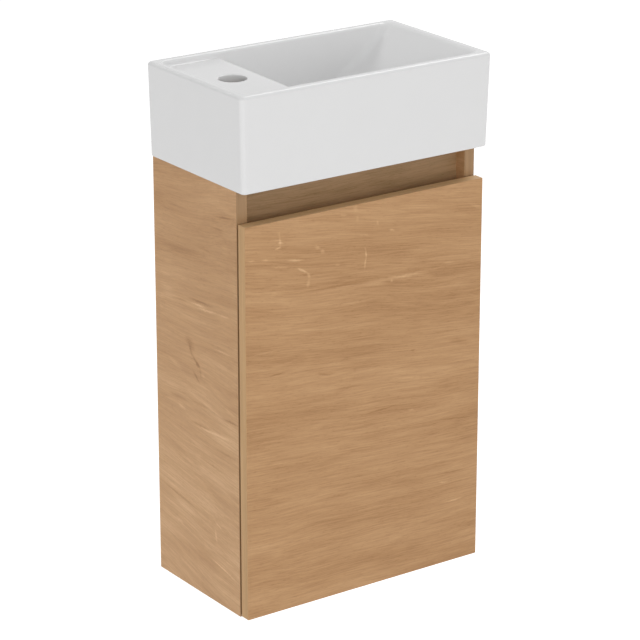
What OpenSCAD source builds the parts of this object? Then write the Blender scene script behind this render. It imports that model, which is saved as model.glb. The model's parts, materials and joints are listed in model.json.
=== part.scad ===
// Wall-hung vanity unit with a small ceramic basin and one hinged door.
// Seen from the front, +X is to the right, -Y is towards the user and +Z is up.
// The wall is the plane y = 0, and z = 0 is the line of the two wall screws.

/* [Cabinet] */
// Width over the side panels
cabinet_w = 356; // [330:1:460]
// Depth of the side panels, from the wall to their front edge
side_depth = 185; // [175:1:260]
// Height of the side panels
cabinet_h = 553; // [500:1:700]
// Thickness of the carcass boards
board_t = 15; // [15:0.5:19]
// Height of the cabinet's top above the wall screws
screw_drop = 60; // [60:1:80]
// How far the grip rail stands back from the front edge of the sides
grip_setback = 17; // [14:1:30]
// Height of the grip rail
grip_rail_h = 65; // [56:1:90]
// Height of the two rails at the back
rear_rail_h = 70; // [50:1:90]
// From the top of the cabinet down to the upper rear rail
rear_rail_drop = 85; // [82:1:110]

/* [Shelf] */
// Height of the shelf's underside above the bottom panel
shelf_height = 235; // [180:1:290]
// Depth of the shelf
shelf_depth = 140; // [100:1:150]
// Distance from the wall to the back of the shelf
shelf_back = 17; // [16:1:25]
// Thickness of the shelf
shelf_t = 15; // [12:0.5:19]
// Play between the shelf and each side panel
shelf_play = 0.75; // [0.5:0.25:1.5]
// Diameter of the shelf pins
shelf_pin_d = 5; // [4:0.5:6]
// Number of holes in each row for the shelf pins
pin_hole_count = 3; // [1:2:5]
// Spacing of the holes in a row
pin_hole_pitch = 32; // [20:1:40]
// Distance of the pin rows from the shelf's front and back edges
pin_row_inset = 30; // [20:1:40]

/* [Door] */
// Height left open above the door for the fingers
grip_gap = 41; // [36:1:60]
// How far the door's foot stays above the bottom of the sides
door_foot = 2; // [0:0.5:10]
// Thickness of the door
door_t = 15; // [15:0.5:19]
// Gap between the door and the front edge of the sides
door_gap = 3; // [3:0.25:4]
// Distance of each hinge from the end of the door
hinge_inset = 95; // [70:1:120]
// Diameter of the door bumpers
bumper_d = 8; // [6:0.5:10]

/* [Basin] */
// How far the basin stands out past each side of the cabinet at its rim
basin_over = 7; // [4:0.5:20]
// How far the basin stands out past the door's face
basin_proud = 5; // [2:0.5:20]
// Height of the basin
basin_h = 120; // [105:1:150]
// Inward slope of the basin's side faces from rim to foot
side_draft = 3; // [0:0.5:4]
// Inward slope of the basin's front face from rim to foot
front_draft = 2; // [0:0.5:4]
// Radius of the basin's upright corners
corner_r = 6; // [4:0.5:12]
// Width of the rim
rim_w = 12; // [10:0.5:16]
// Rounding of the rim's outer edge
rim_round = 3; // [1:0.5:4]
// Thickness of the ceramic walls
ceramic_t = 9; // [8:0.5:11]
// How far the tap ledge lies below the rim
ledge_drop = 8; // [4:0.5:14]
// Width of the tap ledge at the wall, rim included
ledge_back_w = 97; // [90:1:115]
// Width of the tap ledge at the front, rim included
ledge_front_w = 90; // [85:1:115]
// Thickness of the ceramic at the tap hole
ledge_t = 12; // [10:0.5:16]
// Diameter of the tap hole
tap_hole_d = 35; // [32:0.5:36]
// Distance of the tap hole from the basin's left side
tap_hole_in = 57; // [45:1:62]
// Height of the bowl's floor above the basin's foot
bowl_floor_h = 33; // [30:1:40]
// Thickness of the bowl's floor
bowl_floor_t = 10; // [8:0.5:12]
// Inward slope of the bowl's upright walls from rim to floor
bowl_draft = 11; // [4:0.5:16]
// Radius of the bowl's upright corners
bowl_corner_r = 12; // [8:0.5:18]
// Distance from the basin's right side to the knee of the sloping end
slope_knee_in = 81; // [75:1:90]
// Height of that knee above the basin's foot
slope_knee_h = 65; // [60:1:70]
// Distance from the basin's right side to the foot of the slope
slope_foot_in = 135; // [125:1:145]
// Diameter of the waste hole
waste_d = 46; // [42:1:46]
// Distance of the waste hole from the basin's left side
waste_in = 175; // [165:1:185]
// Diameter of the seat round the waste hole
waste_seat_d = 66; // [62:1:70]
// Depth of that seat
waste_seat_drop = 2.5; // [1:0.5:4]
// Height of the waste boss's lower face above the basin's foot
waste_boss_h = 5; // [2:1:12]
// Spacing of the basin's two wall bolt holes
basin_bolt_spacing = 280; // [270:1:290]
// Height of those holes above the basin's foot
basin_bolt_h = 45; // [30:1:50]
// Diameter of those holes
basin_bolt_d = 12; // [10:0.5:14]

/* [Hinges] */
// Diameter of the hinge cups
cup_d = 35; // [35:0.5:36]
// Depth of the hinge cups below the door's back face
cup_depth = 11.5; // [11.5:0.25:12.5]
// Distance of the cup's centre from the door's edge
cup_from_edge = 22; // [21.5:0.25:22.5]
// Spacing of the two cup screws
cup_screw_spacing = 48; // [45:0.5:52]
// Offset of the cup screws from the cup's centre, away from the door's edge
cup_screw_offset = 6; // [6:0.5:9.5]
// Distance of the plate screws behind the cabinet's front edge
plate_setback = 37; // [35:0.5:39]
// Spacing of the two plate screws
plate_screw_spacing = 32; // [28:1:32]
// Diameter of the hinge pins
hinge_pin_d = 2.5; // [2:0.1:2.6]

/* [Hangers] */
// Width of a hanger housing, from the side panel inwards
hanger_w = 18; // [17:0.5:22]
// Height of a hanger housing
hanger_h = 60; // [56:1:60]
// Height of the wall plate's top edge above the wall screws
hook_z = 26; // [24:1:28]
// Distance of the wall screws from the side panel's inner face
wall_screw_in = 21; // [20:1:24]
// Diameter of the holes for the wall screws
wall_screw_d = 7; // [5:0.5:8]

/* [Joinery] */
// Diameter of the cams that pull the boards together
cam_d = 15; // [12:0.5:15]
// Distance of a cam from the end of its board
cam_in = 24; // [24:0.5:34]
// Diameter of the wooden dowels
dowel_d = 8; // [6:0.5:8]
// Length of the wooden dowels
dowel_l = 30; // [25:1:35]

/* [Hidden] */

// Small amounts by which cuts overrun and fitted pieces stay clear
over = 1;
fit = 0.05;
seat_play = 0.1;
bore_end = 0.5;

// Cabinet
top_z = screw_drop;
bottom_z = top_z - cabinet_h;
floor_z = bottom_z + board_t;
side_in = cabinet_w / 2 - board_t;
front_y = -side_depth;
grip_rail_y = front_y + grip_setback;
rear_rail_top = top_z - rear_rail_drop;

// Shelf
shelf_z = floor_z + shelf_height;
shelf_front_y = -shelf_back - shelf_depth;
pin_rows_y = [-shelf_back - pin_row_inset, shelf_front_y + pin_row_inset];
pin_hole_deep = 10;
pin_seat_l = 8;
pin_seat_w = 7;
pin_seat_t = 3.5;

// Door
door_back_y = front_y - door_gap;
door_front_y = door_back_y - door_t;
door_top_z = top_z - grip_gap;
door_foot_z = bottom_z + door_foot;
hinge_heights = [door_top_z - hinge_inset, door_foot_z + hinge_inset];
bumper_t = door_gap - seat_play;
bumper_inset = 30;

// Basin
basin_w = cabinet_w + 2 * basin_over;
basin_depth = basin_proud - door_front_y;
basin_left = -basin_w / 2;
basin_right = basin_w / 2;
ledge_top = basin_h - ledge_drop;
tap_x = basin_left + tap_hole_in;
tap_y = -basin_depth / 2;
waste_x = basin_left + waste_in;
recess_corner_r = 6;
pocket_corner_r = 8;
boss_wall = 10;
pocket_slope_t = 13;
pocket_foot_lead = 5;
pocket_ledge_wall = ceramic_t + 2;
pocket_high_in = 27;
pocket_high_drop = 26;
smooth = 32;

// Hinges, in the plan of the hinge: u runs from the side panel's inner face into the cabinet,
// v runs forwards from the side panel's front edge
cup_u = cup_from_edge - board_t;
cup_play = 0.1;
cup_wall = 1.2;
cup_flange_t = 1;
cup_flange_r = cup_d / 2 + 2;
cup_end = door_gap + cup_depth;
pin_r = hinge_pin_d / 2;
pin_hole_r = pin_r + fit;
// Pivot of the outer link on the arm and on the cup
outer_arm_pin = [11.88, -10.75];
outer_cup_pin = [cup_u - 13.4, door_gap + 1.8];
// Knee of the outer link, which passes round the side panel's front corner
outer_knee = [1.5, door_gap + 1.5];
// Pivot of the inner link on the cup, its eye at rest, and the arm's pin that runs in that eye
inner_cup_pin = [cup_u - 8.09, door_gap + 4.58];
inner_eye = [14, door_gap + 5.5];
inner_arm_pin = [13.51, door_gap + 6.83];
inner_eye_play = 1.55;
link_half_t = 1.5;
knee_r = 1.8;
bridge_half_t = 1.2;
link_eye_r = pin_r + 1.15;
inner_eye_r = pin_r + inner_eye_play + 1.1;
inner_link_w = 2.4;
outer_link_w = [2.7, 4.2];
cheek_w = [4.5, 5.9];
lug_w = [6.2, 8.2];
bridge_from = 4.5;
bridge_to = 9;
nose_r = 2.9;
cheek_throat = [8.6, -15];
arm_top_u = 16.4;
arm_sheet = 1.2;
plate_tail = 23;
arm_back_v = -plate_setback - plate_tail;
arm_web_front_v = 2;
plate_t = 1.5;
plate_half_w = 9;
plate_wing_half = 8;
screw_margin = 6;
plate_wing_end = plate_screw_spacing / 2 + screw_margin;
plate_front_v = -20;
ridge_top_u = 9;
ridge_play = 0.3;
ridge_half_w = cheek_w[0] - ridge_play;
plate_screw_r = 2.5;
plate_screw_l = 11;
fixing_screw_lead = 13;
adjusting_screw_lead = 11;
fixing_screw_v = -plate_setback - fixing_screw_lead;
adjusting_screw_v = -plate_setback + adjusting_screw_lead;
arm_screw_r = 2.4;
cup_screw_r = 1.7;
cup_screw_l = 11;
cup_tab_half = 7;
cup_notch = 2.6;
cup_notch_play = 0.4;
cup_lug_past_pin = 3;

// Hangers, seen from the side panel: s runs from its inner face into the cabinet
housing_back_y = -8;
housing_front_y = -56;
housing_z = -6;
housing_wall = 2.5;
housing_front_t = 4;
housing_lug_l = 16;
housing_lug_inset = 8;
housing_screw_inset = 16;
housing_lug_z = [housing_z + housing_lug_inset, housing_z + hanger_h - housing_lug_inset];
housing_screw_z = [housing_z + housing_screw_inset, housing_z + hanger_h - housing_screw_inset];
housing_block_play = 6;
adjuster_under = 8;
adjuster_above = 4;
adjuster_z = [hook_z - adjuster_under, hook_z + adjuster_above];
adjuster_r = 2.9;
adjuster_head_r = 4.2;
adjuster_head_l = 2;
adjuster_tip_y = -36;
adjuster_tip_room = 2;
slot_half_l = 2.4;
slot_half_w = 0.5;
slot_depth = 1.2;
cover_t = 1.2;
cover_lap = 6;
cover_front_room = 2;
cover_front_y = housing_front_y - housing_lug_l - cover_front_room;
hook_half_w = 4;
hook_t = 3.5;
hook_block = [-44, -22];
hook_block_under = 14;
hook_block_above = 12;
hook_block_cheek = 1;
hook_block_z = [hook_z - hook_block_under, hook_z + hook_block_above];
hook_lip_y = [-2.6, -0.8];
hook_lip_l = 8;
wall_plate_t = 2;
wall_plate_half_w = 19;
wall_plate_foot_z = -14;
wall_plate_flange_y = -5;
wall_plate_flange_h = 14;
wall_plate_bend_z = hook_z - wall_plate_flange_h;
hanger_screw_r = 1.8;
hanger_screw_l = 12;
screw_head_r = 3.8;
screw_head_t = 1.6;

// Joinery: each spot is [y, z, turn], and the turn points the open face of the cam's bore
cam_deep = 12;
cam_shell_r = cam_d / 2 - fit;
bolt_bore_r = 4;
bolt_collar_r = 3.75;
bolt_shank_r = 3;
bolt_neck_r = 1.75;
bolt_head_r = 3.2;
bolt_thread_r = 2.45;
bolt_thread_l = 10;
cam_slot_half = 3.8;
cam_cross_half_w = 0.6;
cam_cross_depth = 2;
bolt_collar_l = 3;
bolt_neck_lead = 6;
bolt_head_half = 2;
bolt_head_tip = 1.5;
rail_mid_z = [rear_rail_top - rear_rail_h / 2, floor_z + rear_rail_h / 2];
down = 180;
backwards = -90;
forwards = 90;
grip_mid_y = grip_rail_y + board_t / 2;
rear_mid_y = -board_t / 2;
bottom_mid_z = bottom_z + board_t / 2;
grip_mid_z = top_z - grip_rail_h / 2;
fitting_gap = 16;
bottom_cam_inset = [35, 50];
bottom_dowel_inset = [60, 75];
bottom_cams = [[front_y + bottom_cam_inset[0], bottom_mid_z, down],
    [-bottom_cam_inset[1], bottom_mid_z, down]];
bottom_dowels = [[front_y + bottom_dowel_inset[0], bottom_mid_z], [-bottom_dowel_inset[1], bottom_mid_z]];
grip_cams = [[grip_mid_y, grip_mid_z - fitting_gap / 2, backwards]];
grip_dowels = [[grip_mid_y, grip_mid_z + fitting_gap]];
rear_top_cams = [[rear_mid_y, rail_mid_z[0] - fitting_gap / 2, forwards]];
rear_top_dowels = [[rear_mid_y, rail_mid_z[0] + fitting_gap]];
rear_foot_cams = [[rear_mid_y, rail_mid_z[1] - fitting_gap / 2, forwards]];
rear_foot_dowels = [[rear_mid_y, rail_mid_z[1] + fitting_gap]];
all_cams = concat(bottom_cams, grip_cams, rear_top_cams, rear_foot_cams);
all_dowels = concat(bottom_dowels, grip_dowels, rear_top_dowels, rear_foot_dowels);

$fn = 48;

// Shared shapes

// A box between two corners
module block(from, to) translate(from) cube(to - from);

// A flat plate with round corners, between two plan corners
module round_plate(from, to, r, z0, z1) translate([0, 0, z0]) linear_extrude(z1 - z0) {
    translate([from[0] + r, from[1]]) square([to[0] - from[0] - 2 * r, to[1] - from[1]]);
    translate([from[0], from[1] + r]) square([to[0] - from[0], to[1] - from[1] - 2 * r]);
    for (x = [from[0] + r, to[0] - r], y = [from[1] + r, to[1] - r]) translate([x, y]) circle(r);
}

// Rods along X, and along Y from y0 to y1
module rod_x(r, x0, x1) translate([x0, 0, 0]) rotate([0, 90, 0]) cylinder(r = r, h = x1 - x0);
module rod_y(r, y0, y1) translate([0, y0, 0]) rotate([-90, 0, 0]) cylinder(r = r, h = y1 - y0);

// Puts a shape drawn inwards from the left side panel's inner face on one of the two sides
module on_left() translate([-side_in, 0, 0]) children();
module on_right() translate([side_in, 0, 0]) mirror([1, 0, 0]) children();
module on_both() {
    on_left() children();
    on_right() children();
}

// Turns the plan of a hinge, u across and v forwards, into the cabinet's axes
module at_hinge(i) translate([side_in, front_y, hinge_heights[i]]) rotate([0, 0, 180]) children();
module at_each_hinge() for (i = [0, 1]) at_hinge(i) children();

// Basin

// Corner posts of the bowl's outline at one height
module bowl_level(z, left_back, left_front, right, inset) {
    r = bowl_corner_r;
    back = -rim_w - inset;
    front = rim_w + inset - basin_depth;
    for (p = [[left_back + inset, back - r], [left_front + inset, front + r]])
        translate([basin_left + p[0] + r, p[1], z]) cylinder(r = r, h = over, $fn = smooth);
    for (y = [back - r, front + r])
        translate([basin_right - right - r, y, z]) cylinder(r = r, h = over, $fn = smooth);
}

// The bowl's hollow: upright walls, and a right end that slopes down in two stretches
module bowl_hollow() hull() {
    knee_inset = bowl_draft * (basin_h - slope_knee_h) / (basin_h - bowl_floor_h);
    bowl_level(basin_h, ledge_back_w, ledge_front_w, rim_w, 0);
    bowl_level(slope_knee_h, ledge_back_w, ledge_front_w, slope_knee_in, knee_inset);
    bowl_level(bowl_floor_h, ledge_back_w, ledge_front_w, slope_foot_in, bowl_draft);
}

// Outer body: sides and front slope inwards to the foot, the back is flat on the wall
module basin_body() hull() {
    levels = [[0, side_draft, front_draft, 0], [basin_h - rim_round, 0, 0, 0],
        [basin_h, rim_round / 2, rim_round / 2, rim_round / 2]];
    for (l = levels) {
        x = basin_right - l[1] - corner_r;
        for (cx = [-x, x], cy = [-l[3] - corner_r, l[2] + corner_r - basin_depth])
            translate([cx, cy, max(l[0] - over, 0)]) cylinder(r = corner_r, h = over, $fn = smooth);
    }
}

// Space below the ledge and below the sloping end, open downwards
module basin_pockets() {
    wall_y = [ceramic_t + front_draft - basin_depth, -ceramic_t];
    wall_x = basin_right - side_draft - ceramic_t;
    under_bowl = bowl_floor_h - bowl_floor_t;
    slope_x = basin_right - slope_foot_in + pocket_foot_lead;
    knee_x = basin_right - slope_knee_in;
    high_x = basin_right - pocket_high_in;
    high_z = basin_h - pocket_high_drop;
    round_plate([-wall_x, wall_y[0]], [wall_x, wall_y[1]], pocket_corner_r, -over, under_bowl);
    round_plate([-wall_x, wall_y[0]], [basin_left + ledge_front_w - pocket_ledge_wall, wall_y[1]],
        pocket_corner_r, -over, ledge_top - ledge_t);
    translate([0, wall_y[1], 0]) rotate([90, 0, 0]) linear_extrude(wall_y[1] - wall_y[0])
        polygon([[slope_x, 0], [slope_x, under_bowl], [knee_x, slope_knee_h - pocket_slope_t],
            [high_x, high_z], [wall_x, high_z], [wall_x, 0]]);
}

module basin() color("white") translate([0, 0, top_z]) difference() {
    union() {
        difference() {
            basin_body();
            basin_pockets();
        }
        translate([waste_x, tap_y, waste_boss_h])
            cylinder(d = waste_d + 2 * boss_wall, h = bowl_floor_h - waste_boss_h - bowl_floor_t / 2);
    }
    round_plate([basin_left + rim_w, rim_w - basin_depth], [basin_left + ledge_back_w + corner_r, -rim_w],
        recess_corner_r, ledge_top, basin_h + over);
    bowl_hollow();
    translate([waste_x, tap_y, bowl_floor_h - waste_seat_drop]) cylinder(d = waste_seat_d, h = over * 5);
    translate([waste_x, tap_y, 0]) cylinder(d = waste_d, h = bowl_floor_h);
    translate([tap_x, tap_y, ledge_top - ledge_t - over]) cylinder(d = tap_hole_d, h = ledge_t + 2 * over);
    for (x = [-1, 1] * basin_bolt_spacing / 2)
        translate([x, 0, basin_bolt_h]) rod_y(basin_bolt_d / 2, -ceramic_t - over, over);
}

// Joinery

// Puts a fitting, drawn from the joint into the board, at every spot on both sides
module at_spots(spots, turned = true) on_both() for (s = spots)
    translate([0, s[0], s[1]]) rotate([turned ? s[2] : 0, 0, 0]) children();

module cam_cuts(spots) at_spots(spots) {
    rod_x(bolt_bore_r, -over, cam_in);
    translate([cam_in, 0, board_t / 2 - cam_deep]) cylinder(d = cam_d, h = cam_deep + over);
}

module dowel_cuts(spots) at_spots(spots, false) rod_x(dowel_d / 2, -over, dowel_l * 2 / 3 + bore_end);

module cam_locks() color("silver") at_spots(all_cams) translate([cam_in, 0, 0]) difference() {
    translate([0, 0, board_t / 2 - cam_deep + seat_play])
        cylinder(r = cam_shell_r, h = cam_deep - seat_play);
    block([-cam_d, -cam_slot_half, -cam_slot_half], [cam_slot_half, cam_slot_half, cam_slot_half]);
    for (a = [0, 90]) rotate([0, 0, a])
        block([-cam_d / 4, -cam_cross_half_w, board_t / 2 - cam_cross_depth],
            [cam_d / 4, cam_cross_half_w, board_t / 2 + over]);
}

module cam_bolts() color("lightgray") at_spots(all_cams) {
    neck_from = cam_in - bolt_neck_lead;
    head_from = cam_in - bolt_head_half;
    rod_x(bolt_thread_r, -bolt_thread_l, 0);
    rod_x(bolt_collar_r, 0, bolt_collar_l);
    rod_x(bolt_shank_r, bolt_collar_l, neck_from);
    rod_x(bolt_neck_r, neck_from, head_from);
    rod_x(bolt_head_r, head_from, cam_in + bolt_head_tip);
}

module wood_dowels() color("burlywood") at_spots(all_dowels, false)
    rod_x(dowel_d / 2 - fit, -dowel_l / 3, dowel_l * 2 / 3);

// Carcass

// A side panel drawn as the left one, with every bore that its fittings need
module side_panel() difference() {
    block([-board_t, front_y, bottom_z], [0, 0, top_z]);
    for (s = all_cams) translate([0, s[0], s[1]])
        rod_x(bolt_thread_r + fit, -bolt_thread_l - bore_end, over);
    for (s = all_dowels) translate([0, s[0], s[1]]) rod_x(dowel_d / 2, -dowel_l / 3 - bore_end, over);
    for (y = pin_rows_y, i = [0 : pin_hole_count - 1])
        translate([0, y, shelf_z - shelf_pin_d / 2 + (i - (pin_hole_count - 1) / 2) * pin_hole_pitch])
            rod_x(shelf_pin_d / 2, -pin_hole_deep, over);
    for (z = housing_screw_z) translate([0, housing_front_y - housing_lug_l / 2, z])
        rod_x(hanger_screw_r + fit, -hanger_screw_l - bore_end, over);
}

module left_side_panel() color("burlywood") on_left() side_panel();

module right_side_panel() color("burlywood") difference() {
    on_right() side_panel();
    at_each_hinge() for (w = [-1, 1] * plate_screw_spacing / 2)
        translate([0, -plate_setback, w]) rod_x(plate_screw_r + fit, -plate_screw_l - bore_end, over);
}

// A board between the side panels, with the bores for its cams and dowels
module cross_board(y0, y1, z0, z1, cams, dowels) difference() {
    block([-side_in, y0, z0], [side_in, y1, z1]);
    cam_cuts(cams);
    dowel_cuts(dowels);
}

module bottom_panel() color("burlywood")
    cross_board(front_y, 0, bottom_z, floor_z, bottom_cams, bottom_dowels);

module front_top_rail() color("burlywood")
    cross_board(grip_rail_y, grip_rail_y + board_t, top_z - grip_rail_h, top_z, grip_cams, grip_dowels);

module rear_top_rail() color("burlywood")
    cross_board(-board_t, 0, rear_rail_top - rear_rail_h, rear_rail_top, rear_top_cams, rear_top_dowels);

module rear_bottom_rail() color("burlywood")
    cross_board(-board_t, 0, floor_z, floor_z + rear_rail_h, rear_foot_cams, rear_foot_dowels);

module shelf() color("burlywood")
    block([shelf_play - side_in, shelf_front_y, shelf_z],
        [side_in - shelf_play, -shelf_back, shelf_z + shelf_t]);

// Each pin has a round shank in the panel and a flat seat under the shelf
module shelf_pins() color("silver") on_both() for (y = pin_rows_y) translate([0, y, shelf_z]) {
    translate([0, 0, -shelf_pin_d / 2]) rod_x(shelf_pin_d / 2 - fit, 1 - pin_hole_deep, 1);
    block([0, -pin_seat_w / 2, -pin_seat_t], [pin_seat_l, pin_seat_w / 2, 0]);
}

// Hangers

module hanger_housing() color("gainsboro") difference() {
    union() {
        block([0, housing_front_y, housing_z], [hanger_w, housing_back_y, housing_z + hanger_h]);
        block([0, housing_front_y - housing_lug_l, housing_lug_z[0]],
            [housing_wall, housing_front_y, housing_lug_z[1]]);
    }
    block([housing_wall, housing_front_y + housing_front_t, hook_block_z[0] - housing_block_play],
        [hanger_w - housing_wall, housing_back_y + over, hook_block_z[1] + housing_block_play]);
    for (z = adjuster_z) translate([hanger_w / 2, 0, z])
        rod_y(adjuster_r + fit, housing_front_y - over, housing_front_y + housing_front_t + over);
    for (z = housing_screw_z) translate([0, housing_front_y - housing_lug_l / 2, z])
        rod_x(hanger_screw_r + fit, -over, housing_wall + over);
}

module left_hanger_housing() on_left() hanger_housing();
module right_hanger_housing() on_right() hanger_housing();

// Steel hook: a threaded block in the housing, an arm over the wall plate and a lip behind it
module hanger_hook() color("silver") difference() {
    s = hanger_w / 2;
    union() {
        block([s - hook_half_w - hook_block_cheek, hook_block[0], hook_block_z[0]],
            [s + hook_half_w + hook_block_cheek, hook_block[1], hook_block_z[1]]);
        block([s - hook_half_w, hook_block[1], hook_z], [s + hook_half_w, hook_lip_y[1], hook_z + hook_t]);
        block([s - hook_half_w, hook_lip_y[0], hook_z - hook_lip_l],
            [s + hook_half_w, hook_lip_y[1], hook_z + hook_t]);
    }
    for (z = adjuster_z) translate([s, 0, z])
        rod_y(adjuster_r + fit, hook_block[0] - over, adjuster_tip_y + adjuster_tip_room);
}

module left_hanger_hook() on_left() hanger_hook();
module right_hanger_hook() on_right() hanger_hook();

// Plastic cap over the front of the housing and its screw lug
module hanger_cover() color("whitesmoke") difference() {
    cap_play = cover_t + seat_play;
    block([0, cover_front_y, housing_z - cap_play],
        [hanger_w + cap_play, housing_front_y + cover_lap, housing_z + hanger_h + cap_play]);
    block([-over, cover_front_y + cover_t, housing_z - seat_play],
        [hanger_w + seat_play, housing_front_y + cover_lap + over, housing_z + hanger_h + seat_play]);
}

module left_hanger_cover() on_left() hanger_cover();
module right_hanger_cover() on_right() hanger_cover();

// Plate on the wall, bent forwards at its top so that the hook's lip goes behind it
module wall_plate() color("silver") translate([wall_screw_in, 0, 0]) difference() {
    union() {
        block([-wall_plate_half_w, -wall_plate_t, wall_plate_foot_z],
            [wall_plate_half_w, 0, wall_plate_bend_z]);
        block([-wall_plate_half_w, wall_plate_flange_y, wall_plate_bend_z - wall_plate_t],
            [wall_plate_half_w, 0, wall_plate_bend_z]);
        block([-wall_plate_half_w, wall_plate_flange_y, wall_plate_bend_z - wall_plate_t],
            [wall_plate_half_w, wall_plate_flange_y + wall_plate_t, hook_z]);
    }
    rod_y(wall_screw_d / 2, -wall_plate_t - over, over);
}

module left_wall_plate() on_left() wall_plate();
module right_wall_plate() on_right() wall_plate();

// Height and depth screws, each with a cross slot in its head
module hanger_adjusters() color("silver") on_both() for (z = adjuster_z) translate([hanger_w / 2, 0, z])
    difference() {
        union() {
            rod_y(adjuster_r, housing_front_y, adjuster_tip_y);
            rod_y(adjuster_head_r, housing_front_y - adjuster_head_l, housing_front_y);
        }
        for (a = [0, 90]) rotate([0, a, 0])
            block([-slot_half_l, housing_front_y - adjuster_head_l - over, -slot_half_w],
                [slot_half_l, housing_front_y - adjuster_head_l + slot_depth, slot_half_w]);
    }

module hanger_screws() color("silver") on_both() for (z = housing_screw_z)
    translate([0, housing_front_y - housing_lug_l / 2, z]) {
        rod_x(hanger_screw_r, -hanger_screw_l, housing_wall);
        rod_x(screw_head_r, housing_wall, housing_wall + screw_head_t);
    }

// Hinges: the fixed parts

module mounting_plate() color("silver") difference() {
    union() {
        block([0, arm_back_v, -plate_half_w], [plate_t, plate_front_v, plate_half_w]);
        block([0, -plate_setback - plate_wing_half, -plate_wing_end],
            [plate_t, plate_wing_half - plate_setback, plate_wing_end]);
        block([0, arm_back_v, -ridge_half_w], [ridge_top_u, plate_front_v, ridge_half_w]);
    }
    for (w = [-1, 1] * plate_screw_spacing / 2)
        translate([0, -plate_setback, w]) rod_x(plate_screw_r + fit, -over, plate_t + over);
    translate([0, fixing_screw_v, 0]) rod_x(arm_screw_r + fit, plate_t, ridge_top_u + over);
}

module upper_mounting_plate() at_hinge(0) mounting_plate();
module lower_mounting_plate() at_hinge(1) mounting_plate();

// One cheek of the arm, in plan
module cheek_outline() {
    foot = plate_t + seat_play;
    polygon([[foot, arm_back_v], [foot, plate_front_v], cheek_throat,
        [inner_arm_pin[0] - nose_r, inner_arm_pin[1]],
        [arm_top_u, inner_arm_pin[1]], [arm_top_u, arm_back_v]]);
    translate(inner_arm_pin) circle(nose_r);
}

module hinge_arm() color("silver") difference() {
    union() {
        for (w = [cheek_w[0], -cheek_w[1]]) translate([0, 0, w])
            linear_extrude(cheek_w[1] - cheek_w[0]) cheek_outline();
        block([arm_top_u - arm_sheet, arm_back_v, -cheek_w[1]], [arm_top_u, arm_web_front_v, cheek_w[1]]);
    }
    for (p = [outer_arm_pin, inner_arm_pin]) translate([p[0], p[1], -cheek_w[1] - over])
        cylinder(r = pin_hole_r, h = 2 * (cheek_w[1] + over));
    for (v = [fixing_screw_v, adjusting_screw_v])
        translate([0, v, 0]) rod_x(arm_screw_r + fit, arm_top_u - arm_sheet - over, arm_top_u + over);
}

module upper_hinge_arm() at_hinge(0) hinge_arm();
module lower_hinge_arm() at_hinge(1) hinge_arm();

module arm_pins() color("gray") at_each_hinge() for (p = [outer_arm_pin, inner_arm_pin])
    translate([p[0], p[1], -cheek_w[1]]) cylinder(r = pin_r, h = 2 * cheek_w[1]);

module plate_screws() color("silver") at_each_hinge() for (w = [-1, 1] * plate_screw_spacing / 2)
    translate([0, -plate_setback, w]) {
        rod_x(plate_screw_r, -plate_screw_l, plate_t);
        rod_x(screw_head_r, plate_t, plate_t + screw_head_t);
    }

// The fixing screw goes into the plate's ridge, the adjusting screw bears on top of it
module arm_screws() color("silver") at_each_hinge() {
    translate([0, fixing_screw_v, 0]) {
        rod_x(arm_screw_r, plate_t + over, arm_top_u);
        rod_x(screw_head_r, arm_top_u, arm_top_u + screw_head_t);
    }
    translate([0, adjusting_screw_v, 0]) rod_x(arm_screw_r, ridge_top_u, arm_top_u + screw_head_t / 2);
}

// Hinges: the links

// A flat bar in plan from one point to the next
module bar(from, to, half = link_half_t) translate(from) rotate(atan2(to[1] - from[1], to[0] - from[0]))
    translate([0, -half]) square([norm(to - from), 2 * half]);

module outer_link() color("lightslategray") difference() {
    along = (outer_knee - outer_arm_pin) / norm(outer_knee - outer_arm_pin);
    union() {
        for (w = [outer_link_w[0], -outer_link_w[1]]) translate([0, 0, w])
            linear_extrude(outer_link_w[1] - outer_link_w[0]) {
                bar(outer_arm_pin, outer_knee);
                bar(outer_knee, outer_cup_pin);
                translate(outer_knee) circle(knee_r);
                for (p = [outer_arm_pin, outer_cup_pin]) translate(p) circle(link_eye_r);
            }
        translate([0, 0, -outer_link_w[1]]) linear_extrude(2 * outer_link_w[1])
            bar(outer_arm_pin + along * bridge_from, outer_arm_pin + along * bridge_to, bridge_half_t);
    }
    for (p = [outer_arm_pin, outer_cup_pin]) translate([p[0], p[1], -outer_link_w[1] - over])
        cylinder(r = pin_hole_r, h = 2 * (outer_link_w[1] + over));
}

module upper_outer_link() at_hinge(0) outer_link();
module lower_outer_link() at_hinge(1) outer_link();

// The inner link's eye on the arm is wide, because the arm's pin runs round in it
module inner_link() color("slategray") translate([0, 0, -inner_link_w]) difference() {
    linear_extrude(2 * inner_link_w) {
        bar(inner_cup_pin, inner_eye);
        translate(inner_cup_pin) circle(link_eye_r);
        translate(inner_eye) circle(inner_eye_r);
    }
    translate([inner_cup_pin[0], inner_cup_pin[1], -over])
        cylinder(r = pin_hole_r, h = 2 * (inner_link_w + over));
    translate([inner_eye[0], inner_eye[1], -over])
        cylinder(r = pin_r + inner_eye_play, h = 2 * (inner_link_w + over));
}

module upper_inner_link() at_hinge(0) inner_link();
module lower_inner_link() at_hinge(1) inner_link();

// Hinges: the cups in the door

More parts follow.
